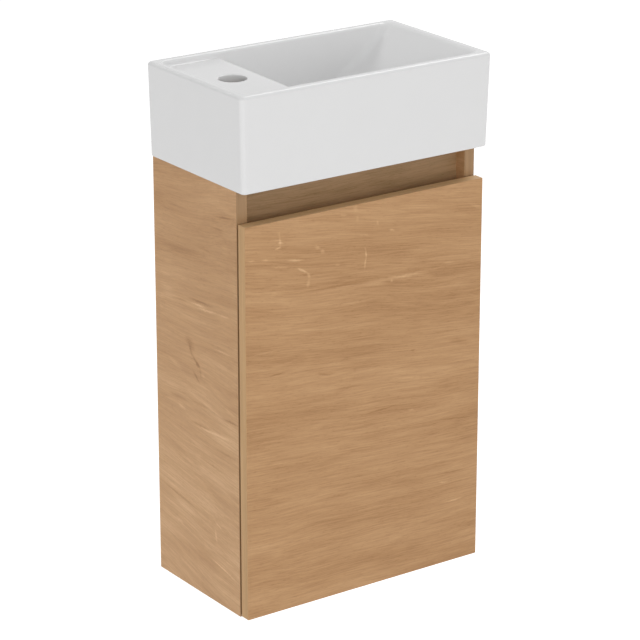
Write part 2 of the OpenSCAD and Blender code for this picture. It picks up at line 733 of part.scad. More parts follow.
module hinge_cup() color("silver") difference() {
    pot_r = cup_d / 2 - cup_play;
    flange_v = door_gap - cup_flange_t;
    flange_end = cup_screw_spacing / 2 + screw_margin;
    union() {
        translate([cup_u, 0, 0]) {
            rod_y(pot_r, flange_v, cup_end);
            rod_y(cup_flange_r, flange_v, door_gap);
        }
        block([cup_u + cup_screw_offset - cup_tab_half, flange_v, -flange_end],
            [cup_u + cup_screw_offset + cup_tab_half, door_gap, flange_end]);
    }
    difference() {
        translate([cup_u, 0, 0]) rod_y(pot_r - cup_wall, flange_v - over, cup_end - cup_wall);
        for (w = [lug_w[0], -lug_w[1]])
            block([cup_u - cup_d, flange_v, w],
                [inner_cup_pin[0] + cup_lug_past_pin, cup_end, w + lug_w[1] - lug_w[0]]);
    }
    block([cup_u - cup_flange_r - over, flange_v - over, -outer_link_w[1] - cup_notch_play],
        [cup_u - cup_d / 2 + cup_notch, outer_cup_pin[1] + link_eye_r + cup_notch_play,
            outer_link_w[1] + cup_notch_play]);
    for (p = [outer_cup_pin, inner_cup_pin]) translate([p[0], p[1], -lug_w[1] - over / 2])
        cylinder(r = pin_hole_r, h = 2 * lug_w[1] + over);
    for (w = [-1, 1] * cup_screw_spacing / 2)
        translate([cup_u + cup_screw_offset, 0, w])
            rod_y(cup_screw_r + fit, flange_v - over, door_gap + over);
}

module upper_hinge_cup() at_hinge(0) hinge_cup();
module lower_hinge_cup() at_hinge(1) hinge_cup();

module cup_pins() color("gray") at_each_hinge() for (p = [outer_cup_pin, inner_cup_pin])
    translate([p[0], p[1], -lug_w[1]]) cylinder(r = pin_r, h = 2 * lug_w[1]);

module cup_screws() color("silver") at_each_hinge() for (w = [-1, 1] * cup_screw_spacing / 2)
    translate([cup_u + cup_screw_offset, 0, w]) {
        flange_v = door_gap - cup_flange_t;
        rod_y(screw_head_r, flange_v - screw_head_t, flange_v);
        rod_y(cup_screw_r, flange_v, door_gap + cup_screw_l);
    }

// Door

module door_panel() color("tan") difference() {
    block([-cabinet_w / 2, door_front_y, door_foot_z], [cabinet_w / 2, door_back_y, door_top_z]);
    at_each_hinge() {
        translate([cup_u, 0, 0]) rod_y(cup_d / 2, door_gap - over, cup_end + bore_end);
        for (w = [-1, 1] * cup_screw_spacing / 2)
            translate([cup_u + cup_screw_offset, 0, w])
                rod_y(cup_screw_r + fit, door_gap - over, door_gap + cup_screw_l + bore_end);
    }
}

// Soft stops on the back of the door, in front of the left side panel's edge
module door_bumpers() color("white") for (z = [door_foot_z + bumper_inset, door_top_z - bumper_inset])
    translate([-cabinet_w / 2 + board_t / 2, 0, z])
        rod_y(bumper_d / 2, door_back_y, door_back_y + bumper_t);

basin();
left_side_panel();
right_side_panel();
bottom_panel();
front_top_rail();
rear_top_rail();
rear_bottom_rail();
shelf();
shelf_pins();
cam_locks();
cam_bolts();
wood_dowels();
left_hanger_housing();
right_hanger_housing();
left_hanger_hook();
right_hanger_hook();
left_hanger_cover();
right_hanger_cover();
left_wall_plate();
right_wall_plate();
hanger_adjusters();
hanger_screws();
upper_mounting_plate();
lower_mounting_plate();
upper_hinge_arm();
lower_hinge_arm();
arm_pins();
plate_screws();
arm_screws();
upper_outer_link();
lower_outer_link();
upper_inner_link();
lower_inner_link();
upper_hinge_cup();
lower_hinge_cup();
cup_pins();
cup_screws();
door_panel();
door_bumpers();
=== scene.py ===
# Wall-hung vanity unit: a small ceramic basin on an oak-effect cabinet with one door.
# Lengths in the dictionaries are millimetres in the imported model's frame, x right, -y front, z up;
# only the studio's are metres.
import json
import math
import bpy
import bmesh
import numpy as np
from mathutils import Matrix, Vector


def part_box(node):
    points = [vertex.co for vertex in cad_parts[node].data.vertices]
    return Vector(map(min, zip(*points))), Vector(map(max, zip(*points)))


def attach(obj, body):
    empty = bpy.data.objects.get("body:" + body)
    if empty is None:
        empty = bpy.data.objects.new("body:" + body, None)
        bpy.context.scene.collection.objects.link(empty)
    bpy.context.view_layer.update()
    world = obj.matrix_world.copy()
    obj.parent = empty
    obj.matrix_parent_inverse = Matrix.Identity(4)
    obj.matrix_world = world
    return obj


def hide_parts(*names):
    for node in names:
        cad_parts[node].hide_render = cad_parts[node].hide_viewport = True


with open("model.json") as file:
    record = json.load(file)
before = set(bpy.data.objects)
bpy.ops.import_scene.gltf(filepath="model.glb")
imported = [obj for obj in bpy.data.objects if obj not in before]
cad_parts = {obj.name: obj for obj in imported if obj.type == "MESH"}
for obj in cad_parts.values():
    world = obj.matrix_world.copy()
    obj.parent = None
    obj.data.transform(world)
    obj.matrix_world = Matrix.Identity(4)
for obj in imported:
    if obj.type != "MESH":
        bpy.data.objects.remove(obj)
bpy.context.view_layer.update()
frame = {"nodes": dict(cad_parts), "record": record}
mm = 0.001
bodies = frame["record"]["behaviour"]["bodies"]
bodyOf = {node: body for body, nodes in bodies.items() for node in nodes}
print("frame loaded")


def boxOf(node):
    # a node's least and greatest x, y and z in millimetres, to a tenth
    return [[round(v / mm, 1) for v in corner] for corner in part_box(node)]


def linearColour(hexText):
    # sRGB hex to linear light: the usual curve with its straight toe
    c = np.array([int(hexText[i:i + 2], 16) for i in (1, 3, 5)]) / 255
    return (*np.where(c <= 0.04045, c / 12.92, ((c + 0.055) / 1.055) ** 2.4).tolist(), 1.0)


def feed(tree, node, inputs):
    # each input gets a value, or a link from the socket that is given for it
    for name, value in inputs.items():
        if isinstance(value, bpy.types.NodeSocket):
            tree.links.new(value, node.inputs[name])
        else:
            node.inputs[name].default_value = value


def addNode(tree, kind, inputs=None, out=0, stops=(), **settings):
    # adds one node with its settings and links, and gives back the socket that the next one reads;
    # stops are the places and colours of a colour ramp, the first at 0 and the last at 1
    node = tree.nodes.new("ShaderNode" + kind)
    for name, value in settings.items():
        setattr(node, name, value)
    if stops:
        elements = node.color_ramp.elements
        for place, colour in stops[1:-1]:
            elements.new(place)
        for element, (place, colour) in zip(elements, stops):
            element.position, element.color = place, linearColour(colour)
    feed(tree, node, inputs or {})
    return node.outputs[out]


def newMaterial(name):
    # a material with its node tree and its shader, still to be fed
    material = bpy.data.materials.new(name)
    material.use_nodes = True
    return material, material.node_tree, material.node_tree.nodes["Principled BSDF"]


# Camera, lamps, world and floor

studio = dict(
    cameraPlace=(-2.01086, -2.96087, 1.0867), cameraTurn=(70.34, 0, -35.14),
    lens=165.88, sensorWidth=36, clipEnd=100,
    lamps=[
        dict(name="overheadLamp", place=(1.9, 0.35, 2.5), size=(1.3, 1.3), watts=27),
        dict(name="backLamp", place=(-0.9, 2.2, 2.3), size=(0.8, 0.8), watts=8),
        dict(name="frontLamp", place=(-0.9, -4.15, 0.8), size=(2.8, 2.2), watts=54),
        dict(name="leftLamp", place=(-3.5, 0.3, 0.0), size=(2.0, 1.6), watts=17),
    ],
    aim=(0, -0.1, -0.15), worldLight=0.44,
    floorHeight=-0.67, floorHalf=14, floorColour="#F6F6F6", floorLift=0.58,
)
white = linearColour("#FFFFFF")


def seenDirectly(tree):
    # 1 for rays from the camera, from a mirror reflection or through something clear, else 0
    seen = addNode(tree, "LightPath", out="Is Camera Ray")
    for kind in ("Is Glossy Ray", "Is Transmission Ray"):
        ray = addNode(tree, "LightPath", out=kind)
        seen = addNode(tree, "Math", {0: seen, 1: ray}, operation="MAXIMUM")
    return seen


def addCamera(s):
    # the photograph's own viewpoint
    scene = bpy.context.scene
    scene.view_settings.view_transform = "Standard"
    data = bpy.data.cameras.new("camera")
    data.lens, data.sensor_width, data.clip_end = s["lens"], s["sensorWidth"], s["clipEnd"]
    camera = bpy.data.objects.new("camera", data)
    camera.location = s["cameraPlace"]
    camera.rotation_euler = [math.radians(angle) for angle in s["cameraTurn"]]
    scene.collection.objects.link(camera)
    scene.camera = camera


def addLights(s):
    # soft boxes that all look at one point, and an even white world that is brighter to the eye
    scene = bpy.context.scene
    for spec in s["lamps"]:
        data = bpy.data.lights.new(spec["name"], "AREA")
        data.energy, data.shape, data.size, data.size_y = spec["watts"], "RECTANGLE", *spec["size"]
        lamp = bpy.data.objects.new(spec["name"], data)
        lamp.location = spec["place"]
        aim = Vector(s["aim"]) - Vector(spec["place"])
        lamp.rotation_euler = aim.to_track_quat("-Z", "Y").to_euler()
        scene.collection.objects.link(lamp)
    world = bpy.data.worlds.new("studio")
    world.use_nodes = True
    scene.world = world
    tree = world.node_tree
    light = addNode(tree, "MapRange", {
        "Value": seenDirectly(tree), "To Min": s["worldLight"], "To Max": 1.0})
    feed(tree, tree.nodes["Background"], {"Color": white, "Strength": light})


def addFloor(s):
    # painted studio floor: matt and white, bright enough to vanish where no shadow falls; its
    # underside is clear, so that the object can be looked at from below
    half, z = s["floorHalf"], s["floorHeight"]
    corners = [(-half, -half, z), (half, -half, z), (half, half, z), (-half, half, z)]
    mesh = bpy.data.meshes.new("floor")
    mesh.from_pydata(corners, [], [(0, 1, 2, 3)])
    floor = bpy.data.objects.new("floor", mesh)
    bpy.context.scene.collection.objects.link(floor)
    material, tree, shader = newMaterial("mattWhiteStudioFloor")
    lift = addNode(tree, "Math", {0: seenDirectly(tree), 1: s["floorLift"]}, operation="MULTIPLY")
    feed(tree, shader, {
        "Base Color": linearColour(s["floorColour"]), "Roughness": 1.0, "Specular IOR Level": 0.0,
        "Emission Color": white, "Emission Strength": lift})
    below = addNode(tree, "NewGeometry", out="Backfacing")
    clear = addNode(tree, "BsdfTransparent")
    surface = addNode(tree, "MixShader", {0: below, 1: shader.outputs[0], 2: clear})
    feed(tree, tree.nodes["Material Output"], {"Surface": surface})
    mesh.materials.append(material)


addCamera(studio)
addLights(studio)
addFloor(studio)
print("studio ready")


# Materials: pattern sizes are millimetres and a pattern's rate is 1000 over its size, because the
# Object coordinates that it is drawn in are metres

noiseSpan = {"From Min": 0.3, "From Max": 0.7}    # the part of 0 to 1 that a noise really fills

# grains are length along the board, height across it and, for the foil, their share of the tone
oak = dict(
    stops=[(0.0, "#A17446"), (0.3, "#BA8D5F"), (0.6, "#CCA072"), (1.0, "#E8BF91")],
    grainAxis=0, tone=0.11, seed=4,      # axis 0 is x and 1 is y; the seed picks a stretch of foil
    broad=(260, 40, 0.26),               # slow bands across a board
    streak=(140, 8, 0.17),               # soft streaks of the printed oak
    fibre=(42, 1.6, 0.27),               # real fibres are finer; drawn as coarse as the render shows
    pore=(7, 1.2, 0.12), poreSpan=(0.57, 0.72),
    wander=(190, 150), sway=14,          # how the grain wanders off the straight, and how far
    fanRate=0, fanCentre=(0, 0),         # the grain's slope grows away from this place
    seedStep=(0.31, 0.17, 0.23),
    rough=(0.5, 0.62), relief=0.05,
    marks=(), face=(1, 0),               # a board with marks says which face they lie on
    markDepth=9, markFade=(0.1, 1.2), jitter=2.2, jitterSize=4,
)
# the grip rail's stops: the oak's made darker and less red, painted shade added to the real shade of the
# recess under the basin
railPaintedShadeStops = [(0.0, "#866940"), (0.3, "#A2815C"), (0.6, "#B18F69"), (1.0, "#CAAF8D")]
edgeBand = dict(fine=(110, 1.2), broad=(250, 6), share=0.5, rough=0.5, relief=0.04)
carcassBand = ("#997752", "#B18D66")
particleBoard = dict(
    stops=[(0.0, "#7E5E3C"), (0.6, "#A98557"), (1.0, "#D6BA8E")],
    flake=2.4, dust=1.11, flakeTone=(0.75, 0.25), rough=0.92, relief=0.3,
)
china = dict(
    stops=[(0.0, "#EDEDED"), (1.0, "#EFEFEF")],
    wave=45, peel=4, peelShare=0.05, rough=(0.2, 0.24), relief=0.08,
)
dowelBeech = dict(
    stops=[(0.0, "#AD7F52"), (1.0, "#E9CDA4")],
    fibre=(14.3, 0.77), fleck=(2.38, 0.667), fleckSpan=(0.58, 0.7), fleckShare=0.4,
    rough=0.7, relief=0.08,
)
# the decor's pale ray flecks and soft streaks on the door, and on the left side its figure with a knot,
# under one broad mark that makes the side darker towards its top: place on the face, half size, turn in
# degrees, share of the tone
doorFlecks = [
    ((-132, -5), (10, 1.2), 11, 0.26), ((-128, -7), (9, 2.2), 88, 0.26),
    ((-127, -9), (5.2, 1.3), 11, 0.3), ((-131, -15), (5.2, 1.6), -9, 0.42),
    ((-129, 2), (3.6, 2.4), 83, 0.16), ((-169, -24), (7, 1.2), 9, 0.28),
    ((-149, -27), (7, 1.3), 10, 0.32), ((-106, -35), (14, 1.4), 9, 0.42),
    ((-129, -39), (14, 1.3), 10, 0.3), ((-151, -43), (17, 1.2), 12, 0.2),
    ((-95, -50), (11, 1.9), 30, 0.52), ((-86, -58), (5.3, 2.4), 65, 0.3),
    ((-87, -68), (6, 3), -80, 0.24), ((-92, -56), (6, 1.2), 20, -0.2),
    ((-73, -25), (6, 2.6), 25, 0.3), ((-66, -31), (4.2, 3.2), 50, 0.32),
    ((-110, 13), (36, 9), 10, 0.12), ((-35, 9), (7, 1.6), 8, 0.28),
    ((-2, -41), (4.3, 1.4), 72, 0.22), ((-1, -47), (4.6, 1.8), 85, 0.5),
    ((-2, -58), (10, 1.6), -82, 0.36), ((-4, -22), (8, 1.3), 11, 0.22),
    ((-17, 14), (6, 4), 79, 0.18), ((-14, 1), (5.8, 2.6), 86, 0.14),
    ((16, -10), (3.6, 2.2), 71, 0.2), ((38, -23), (6, 1.7), 16, 0.38),
    ((38, -89), (2.3, 2.2), 3, 0.36), ((13, -88), (18, 3), 4, 0.16),
    ((-28, -79), (25, 2), 2, -0.16), ((-44, -53), (4.5, 1.4), 11, 0.26),
    ((67, -88), (25, 3), 6, 0.18), ((126, -82), (11, 1.4), 5, 0.22),
    ((168, -16), (13, 2.6), 24, 0.2), ((43, -54), (26, 1.6), 3, -0.14),
    ((125, -173), (31, 2), 3, -0.18), ((71, -267), (6, 1.3), 7, 0.3),
    ((140, -294), (33, 1.3), 7, -0.26), ((24, -256), (33, 1.4), -2, -0.22),
    ((138, -367), (23, 1.4), 3, -0.2), ((123, -378), (9, 1.4), 10, 0.3),
    ((142, -407), (18, 1.3), -2, 0.3), ((42, -86), (57, 3), 2, 0.2),
    ((95, -86), (80, 2), 0, 0.12), ((-46, -80), (58, 1.6), 3, -0.2),
    ((-138, -69), (44, 1.6), 7, 0.14), ((72, -187), (6, 1.6), 3, -0.3),
    ((145, -191), (22, 6), 20, -0.14), ((-132, -175), (13, 1.6), -1, -0.24),
    ((-64, -190), (13, 2), 16, -0.24), ((-27, -215), (25, 1.6), 4, -0.24),
    ((-152, -144), (26, 1.4), 0, 0.2), ((-25, -106), (41, 2), 3, 0.14),
    ((43, -207), (65, 2), 2, -0.14),
]
sideFigure = [
    # the first mark is the broad one: the side darker towards its top, under the basin
    ((-92, 60), (400, 350), 0, -0.19), ((-99, -107), (20, 1.8), -4, 0.36),
    ((-120, -109), (32, 1.8), -6, 0.4), ((-155, -106), (14, 1.6), -4, 0.24),
    ((-58, -111), (17, 1.8), -7, -0.26), ((-105, -102), (31, 2), -3, -0.34),
    ((-159, 20), (26, 1.8), -10, -0.36), ((-144, 2), (18, 1.6), -4, -0.26),
    ((-70, -45), (49, 9), -7, -0.16), ((-119, -32), (21, 2), 1, -0.2),
    ((-28, -107), (22, 10), -3, 0.14), ((-79, -163), (14, 8), 41, -0.26),
    ((-80, -171), (10, 3), 69, -0.3), ((-89, -181), (10, 2.6), 37, -0.36),
    ((-96, -186), (5.6, 3.6), 27, -0.6), ((-92, -203), (12, 2.6), 39, -0.36),
    ((-101, -194), (10, 2.2), 82, -0.18), ((-108, -196), (4.5, 4.5), 5, 0.14),
    ((-150, -153), (27, 2), -2, 0.36), ((-49, -242), (22, 2.6), -2, -0.24),
    ((-98, -237), (25, 3), -2, -0.28), ((-58, -253), (11, 2.6), 9, 0.26),
    ((-167, -239), (19, 2), -2, -0.46), ((-127, -266), (47, 2.2), -3, 0.36),
    ((-100, -265), (29, 2), 0, -0.3), ((-157, -285), (28, 2.4), 0, -0.28),
    ((-129, -310), (43, 2), 4, -0.26), ((-45, -199), (23, 5), 20, 0.14),
    ((-44, -375), (49, 1.8), 8, -0.36), ((-61, -387), (31, 6), 10, 0.22),
    ((-49, -410), (11, 2), 5, 0.26), ((-137, -386), (10, 1.7), 19, 0.42),
    ((-132, -403), (10, 2.2), 81, 0.3), ((-149, -442), (43, 1.5), 12, 0.36),
    ((-80, -445), (69, 14), 2, -0.14),
]


def drawnGrain(tree, place, axis, size, noise, out="Fac"):
    # wood grain: a noise drawn out along one axis; size is its length along it and height across
    rates = [1000 / size[1]] * 3
    rates[axis] = 1000 / size[0]
    drawn = addNode(tree, "VectorMath", {0: place, 1: rates}, operation="MULTIPLY")
    return addNode(tree, "TexNoise", {"Vector": drawn, "Scale": 1.0, **noise}, out=out)


def shifted(tree, place, noise, amount):
    # the place moved along each axis by amount times how far the noise's colour is from its middle
    offset = addNode(tree, "VectorMath", {0: noise, 1: (0.5, 0.5, 0.5)}, operation="SUBTRACT")
    return addNode(tree, "VectorMath", {0: offset, 1: (amount * mm,) * 3, 2: place},
                   operation="MULTIPLY_ADD")


def foilPlace(tree, place, look):
    # the place on the printed sheet: the height grows by the fan's rate times the distance along
    # and the distance up from its centre, then the whole moves by the seed
    centre = [c * mm for c in look["fanCentre"]]
    along = addNode(tree, "SeparateXYZ", {"Vector": place}, out="XYZ"[look["grainAxis"]])
    height = addNode(tree, "SeparateXYZ", {"Vector": place}, out="Z")
    along = addNode(tree, "Math", {0: along, 1: centre[0]}, operation="SUBTRACT")
    height = addNode(tree, "Math", {0: height, 1: centre[1]}, operation="SUBTRACT")
    lean = addNode(tree, "Math", {0: along, 1: height}, operation="MULTIPLY")
    lean = addNode(tree, "Math", {0: lean, 1: look["fanRate"]}, operation="MULTIPLY")
    lean = addNode(tree, "CombineXYZ", {"Z": lean})
    fanned = addNode(tree, "VectorMath", {0: place, 1: lean}, operation="ADD")
    return addNode(tree, "Mapping", {
        "Vector": fanned, "Location": [look["seed"] * step for step in look["seedStep"]]})


def markedTone(tree, tone, place, look):
    # the tone with every mark added: a soft ellipse on the face with a slightly ragged outline
    axis, faceAt = look["face"]
    noise = addNode(tree, "TexNoise", {
        "Vector": place, "Scale": 1000 / look["jitterSize"], "Detail": 1}, out="Color")
    ragged = shifted(tree, place, noise, look["jitter"])
    for (out, up), (half, tall), turn, share in look["marks"]:
        centre, size, turns = [out, out, up], [half, half, tall], [0, 0, 0]
        centre[axis], size[axis], turns[axis] = faceAt, look["markDepth"], math.radians(turn)
        spot = addNode(tree, "Mapping", {
            "Vector": ragged, "Location": [c * mm for c in centre], "Rotation": turns,
            "Scale": [c * mm for c in size]}, vector_type="TEXTURE")
        reach = addNode(tree, "VectorMath", {0: spot}, out="Value", operation="LENGTH")
        mark = addNode(tree, "MapRange", {
            "Value": reach, "From Min": look["markFade"][0], "From Max": look["markFade"][1],
            "To Min": share, "To Max": 0.0}, interpolation_type="SMOOTHSTEP")
        tone = addNode(tree, "Math", {0: tone, 1: mark}, operation="ADD")
    return tone


def makeOakFoil(name, look):
    # oak-effect melamine foil on chipboard: a printed, matt, dry-looking grain with pale flecks and
    # dark pores, pressed very slightly into the surface
    material, tree, shader = newMaterial(name)
    place = addNode(tree, "TexCoord", out="Object")
    sheet = foilPlace(tree, place, look)
    axis = look["grainAxis"]
    smooth, fine = [{"Detail": detail, "Roughness": 0.55} for detail in (1, 2)]
    wander = drawnGrain(tree, sheet, axis, look["wander"], smooth, "Color")
    sheet = shifted(tree, sheet, wander, look["sway"])
    fibre = drawnGrain(tree, sheet, axis, look["fibre"], fine)
    tone = look["tone"]
    for grain, share in (
            (drawnGrain(tree, sheet, axis, look["broad"], fine), look["broad"][2]),
            (drawnGrain(tree, sheet, axis, look["streak"], fine), look["streak"][2]),
            (fibre, look["fibre"][2])):
        layer = addNode(tree, "MapRange", {"Value": grain, **noiseSpan, "To Max": share})
        tone = addNode(tree, "Math", {0: tone, 1: layer}, operation="ADD")
    pores = addNode(tree, "MapRange", {
        "Value": drawnGrain(tree, sheet, axis, look["pore"], smooth),
        "From Min": look["poreSpan"][0], "From Max": look["poreSpan"][1], "To Max": look["pore"][2]})
    tone = addNode(tree, "Math", {0: tone, 1: pores}, operation="SUBTRACT")
    tone = markedTone(tree, tone, place, look)
    relief = addNode(tree, "Math", {0: fibre, 1: pores}, operation="SUBTRACT")
    feed(tree, shader, {
        "Base Color": addNode(tree, "ValToRGB", {0: tone}, stops=look["stops"]), "IOR": 1.5,
        "Roughness": addNode(tree, "MapRange", {
            "Value": fibre, **noiseSpan, "To Min": look["rough"][0], "To Max": look["rough"][1]}),
        "Normal": addNode(tree, "Bump", {
            "Height": relief, "Distance": look["relief"] * mm, "Strength": 0.6})})
    return material


def makeEdgeBand(name, look, colours, grainAxis, seed):
    # ironed-on edge band: the same oak print, plainer and a little greener, with a long fine grain
    material, tree, shader = newMaterial(name)
    place = addNode(tree, "TexCoord", out="Object")
    place = addNode(tree, "Mapping", {"Vector": place, "Location": (seed,) * 3})
    tone = 0.0
    for size in (look["fine"], look["broad"]):
        grain = drawnGrain(tree, place, grainAxis, size, {"Detail": 2})
        layer = addNode(tree, "MapRange", {"Value": grain, **noiseSpan, "To Max": look["share"]})
        tone = addNode(tree, "Math", {0: tone, 1: layer}, operation="ADD")
    feed(tree, shader, {
        "Base Color": addNode(tree, "ValToRGB", {0: tone}, stops=[(0.0, colours[0]), (1.0, colours[1])]),
        "IOR": 1.5, "Roughness": look["rough"],
        "Normal": addNode(tree, "Bump", {
            "Height": tone, "Distance": look["relief"] * mm, "Strength": 0.5})})
    return material


def makeChipboard(look):
    # raw particle board, sawn or drilled: pressed beech and spruce flakes with dark resin between
    material, tree, shader = newMaterial("rawParticleBoard")
    place = addNode(tree, "TexCoord", out="Object")
    flakes = addNode(tree, "TexVoronoi", {
        "Vector": place, "Scale": 1000 / look["flake"]}, out="Distance")
    dust = addNode(tree, "TexNoise", {"Vector": place, "Scale": 1000 / look["dust"], "Detail": 3})
    middle, seam = look["flakeTone"]
    tone = addNode(tree, "MapRange", {
        "Value": flakes, "From Max": 0.9, "To Min": middle, "To Max": seam})
    tone = addNode(tree, "Math", {0: tone, 1: dust}, operation="ADD")
    feed(tree, shader, {
        "Base Color": addNode(tree, "ValToRGB", {0: tone}, stops=look["stops"]), "Roughness": look["rough"],
        "Normal": addNode(tree, "Bump", {
            "Height": tone, "Distance": look["relief"] * mm, "Strength": 0.8})})
    return material


def makeGlaze(look):
    # vitreous china under a poured white glaze: a soft satin gloss over white, barely wavy
    material, tree, shader = newMaterial("glazedVitreousChina")
    place = addNode(tree, "TexCoord", out="Object")
    wave = addNode(tree, "TexNoise", {"Vector": place, "Scale": 1000 / look["wave"], "Detail": 1})
    peel = addNode(tree, "TexNoise", {"Vector": place, "Scale": 1000 / look["peel"], "Detail": 2})
    height = addNode(tree, "Math", {0: peel, 1: look["peelShare"], 2: wave}, operation="MULTIPLY_ADD")
    feed(tree, shader, {
        "Base Color": addNode(tree, "ValToRGB", {0: wave}, stops=look["stops"]), "IOR": 1.53,
        "Roughness": addNode(tree, "MapRange", {
            "Value": peel, **noiseSpan, "To Min": look["rough"][0], "To Max": look["rough"][1]}),
        "Normal": addNode(tree, "Bump", {
            "Height": height, "Distance": look["relief"] * mm, "Strength": 0.5})})
    return material


def makeGrained(name, colours, rough, grit, relief, cloud=20, metal=0.0, clear=0.0):
    # one even colour that drifts a little over cloud millimetres, and a surface grain of grit
    # millimetres, relief high, which also varies the gloss
    material, tree, shader = newMaterial(name)
    place = addNode(tree, "TexCoord", out="Object")
    fine = addNode(tree, "TexNoise", {"Vector": place, "Scale": 1000 / grit, "Detail": 3})
    drift = addNode(tree, "TexNoise", {"Vector": place, "Scale": 1000 / cloud, "Detail": 2})
    drift = addNode(tree, "MapRange", {"Value": drift, **noiseSpan})
    feed(tree, shader, {
        "Base Color": addNode(tree, "ValToRGB", {0: drift}, stops=[(0.0, colours[0]), (1.0, colours[1])]),
        "Metallic": metal, "Transmission Weight": clear,
        "Roughness": addNode(tree, "MapRange", {
            "Value": fine, **noiseSpan, "To Min": rough[0], "To Max": rough[1]}),
        "Normal": addNode(tree, "Bump", {
            "Height": fine, "Distance": relief * mm, "Strength": 0.5})})
    return material


def makeBeech(look):
    # turned beech dowel: pale, short-grained, with small darker ray flecks along its length
    material, tree, shader = newMaterial("turnedBeech")
    place = addNode(tree, "TexCoord", out="Object")
    fibre, fleck = [drawnGrain(tree, place, 0, look[kind], {"Detail": 2})
                    for kind in ("fibre", "fleck")]
    dark = addNode(tree, "MapRange", {
        "Value": fleck, "From Min": look["fleckSpan"][0], "From Max": look["fleckSpan"][1],
        "To Max": look["fleckShare"]})
    tone = addNode(tree, "Math", {0: fibre, 1: dark}, operation="SUBTRACT")
    feed(tree, shader, {
        "Base Color": addNode(tree, "ValToRGB", {0: tone}, stops=look["stops"]), "Roughness": look["rough"],
        "Normal": addNode(tree, "Bump", {
            "Height": fibre, "Distance": look["relief"] * mm, "Strength": 0.6})})
    return material


glaze = makeGlaze(china)
# the same china where no glaze lies, on the foot, the back and inside the hollow: dry and chalky
bisque = makeGrained("unglazedChina", ("#D9D2C6", "#E6E1D8"), (0.8, 0.9), 1.4, 0.12, cloud=35)
doorFront, panelSide = boxOf("door_panel")[0][1], boxOf("left_side_panel")[0][0]
foilDoor = makeOakFoil("oakFoilDoor", dict(
    oak, seed=1, tone=0.02, fanRate=0.33, fanCentre=(0, -510), marks=doorFlecks, face=(1, doorFront)))
foilAcross = makeOakFoil("oakFoilAcross", oak)
# the grip rail's foil, darker than the other boards: painted shade
foilRailPaintedShade = makeOakFoil("oakFoilGripRailPaintedShade", dict(oak, stops=railPaintedShadeStops, seed=5, tone=-0.03))
foilSide = makeOakFoil("oakFoilSide", dict(
    oak, grainAxis=1, seed=2, tone=0.28, sway=26, fanRate=0.8, fanCentre=(-90, -190),
    marks=sideFigure, face=(0, panelSide)))
bandAcross = makeEdgeBand("oakEdgeBandAcross", edgeBand, carcassBand, 0, 1)
bandUp = makeEdgeBand("oakEdgeBandUpright", edgeBand, carcassBand, 2, 2)
bandDeep = makeEdgeBand("oakEdgeBandDeep", edgeBand, carcassBand, 1, 3)
bandDoor = makeEdgeBand("oakEdgeBandDoor", edgeBand, ("#B88F5C", "#D3A873"), 2, 4)
# the door's top and bottom edge band, paler than its upright edges: painted light for the light that falls
# on the door's top edge under the basin
bandDoorAcrossPaintedLight = makeEdgeBand("oakEdgeBandDoorAcrossPaintedLight", edgeBand, ("#CBA373", "#E3BE8E"), 0, 5)
chipboard = makeChipboard(particleBoard)
finishes = dict(
    # barrel-plated nickel: warm bright metal, softly uneven from tumbling
    nickel_steel=makeGrained(
        "nickelPlatedSteel", ("#BDBAB4", "#CBC8C2"), (0.24, 0.34), 0.5, 0.01, metal=1.0),
    # bright zinc plate, blue-passivated: cooler and duller than nickel
    zinc_steel=makeGrained(
        "zincPlatedSteel", ("#A9AFB5", "#BCC1C5"), (0.34, 0.48), 0.8, 0.02, metal=1.0),
    # raw die-cast zinc: dark, satin, with the die's fine pitting
    cast_zinc=makeGrained(
        "dieCastZinc", ("#8F9396", "#A2A6A8"), (0.46, 0.6), 1.0, 0.05, metal=1.0),
    # moulded nylon: an even grey with the mould's spark-eroded bloom
    grey_plastic=makeGrained(
        "mouldedGreyNylon", ("#85888A", "#8F9294"), (0.45, 0.58), 0.7, 0.03),
    # moulded polystyrene: white and slightly silky
    white_plastic=makeGrained(
        "mouldedWhitePolystyrene", ("#E4E4E0", "#ECECE9"), (0.35, 0.45), 0.7, 0.02),
    # soft clear polyurethane: cloudy, lets the board's colour through
    clear_bumper=makeGrained(
        "castClearPolyurethane", ("#E9EAE6", "#F1F1EE"), (0.12, 0.2), 0.9, 0.01, clear=0.85),
    beech=makeBeech(dowelBeech),
)
print("materials made")


# Meshes

mergeReach = 0.002    # points nearer to each other than this become one
flatTurn = 0.6        # degrees up to which faces that meet are one flat face


def addPiece(mesh, name, node, materials, smoothAngle, index=None):
    # the finished piece that stands for a CAD node; index gives each face its material
    mesh.shade_smooth()
    mesh.set_sharp_from_angle(angle=math.radians(smoothAngle))
    piece = bpy.data.objects.new(name, mesh)
    bpy.context.scene.collection.objects.link(piece)
    mesh.materials.clear()
    for material in materials:
        mesh.materials.append(material)
    if index is not None:
        mesh.polygons.foreach_set("material_index", index)
    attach(piece, bodyOf[node])
    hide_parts(node)
    return piece


def softenEdges(piece, width, segments, **limit):
    # a small rounding; limit says which edges get it
    soften = piece.modifiers.new("softEdges", "BEVEL")
    soften.width, soften.segments, soften.harden_normals = width * mm, segments, True
    for name, value in limit.items():
        setattr(soften, name, value)


def facesOf(mesh):
    # centre in millimetres and normal of each face
    centre, normal = np.empty(len(mesh.polygons) * 3), np.empty(len(mesh.polygons) * 3)
    mesh.polygons.foreach_get("center", centre)
    mesh.polygons.foreach_get("normal", normal)
    return centre.reshape(-1, 3) / mm, normal.reshape(-1, 3)


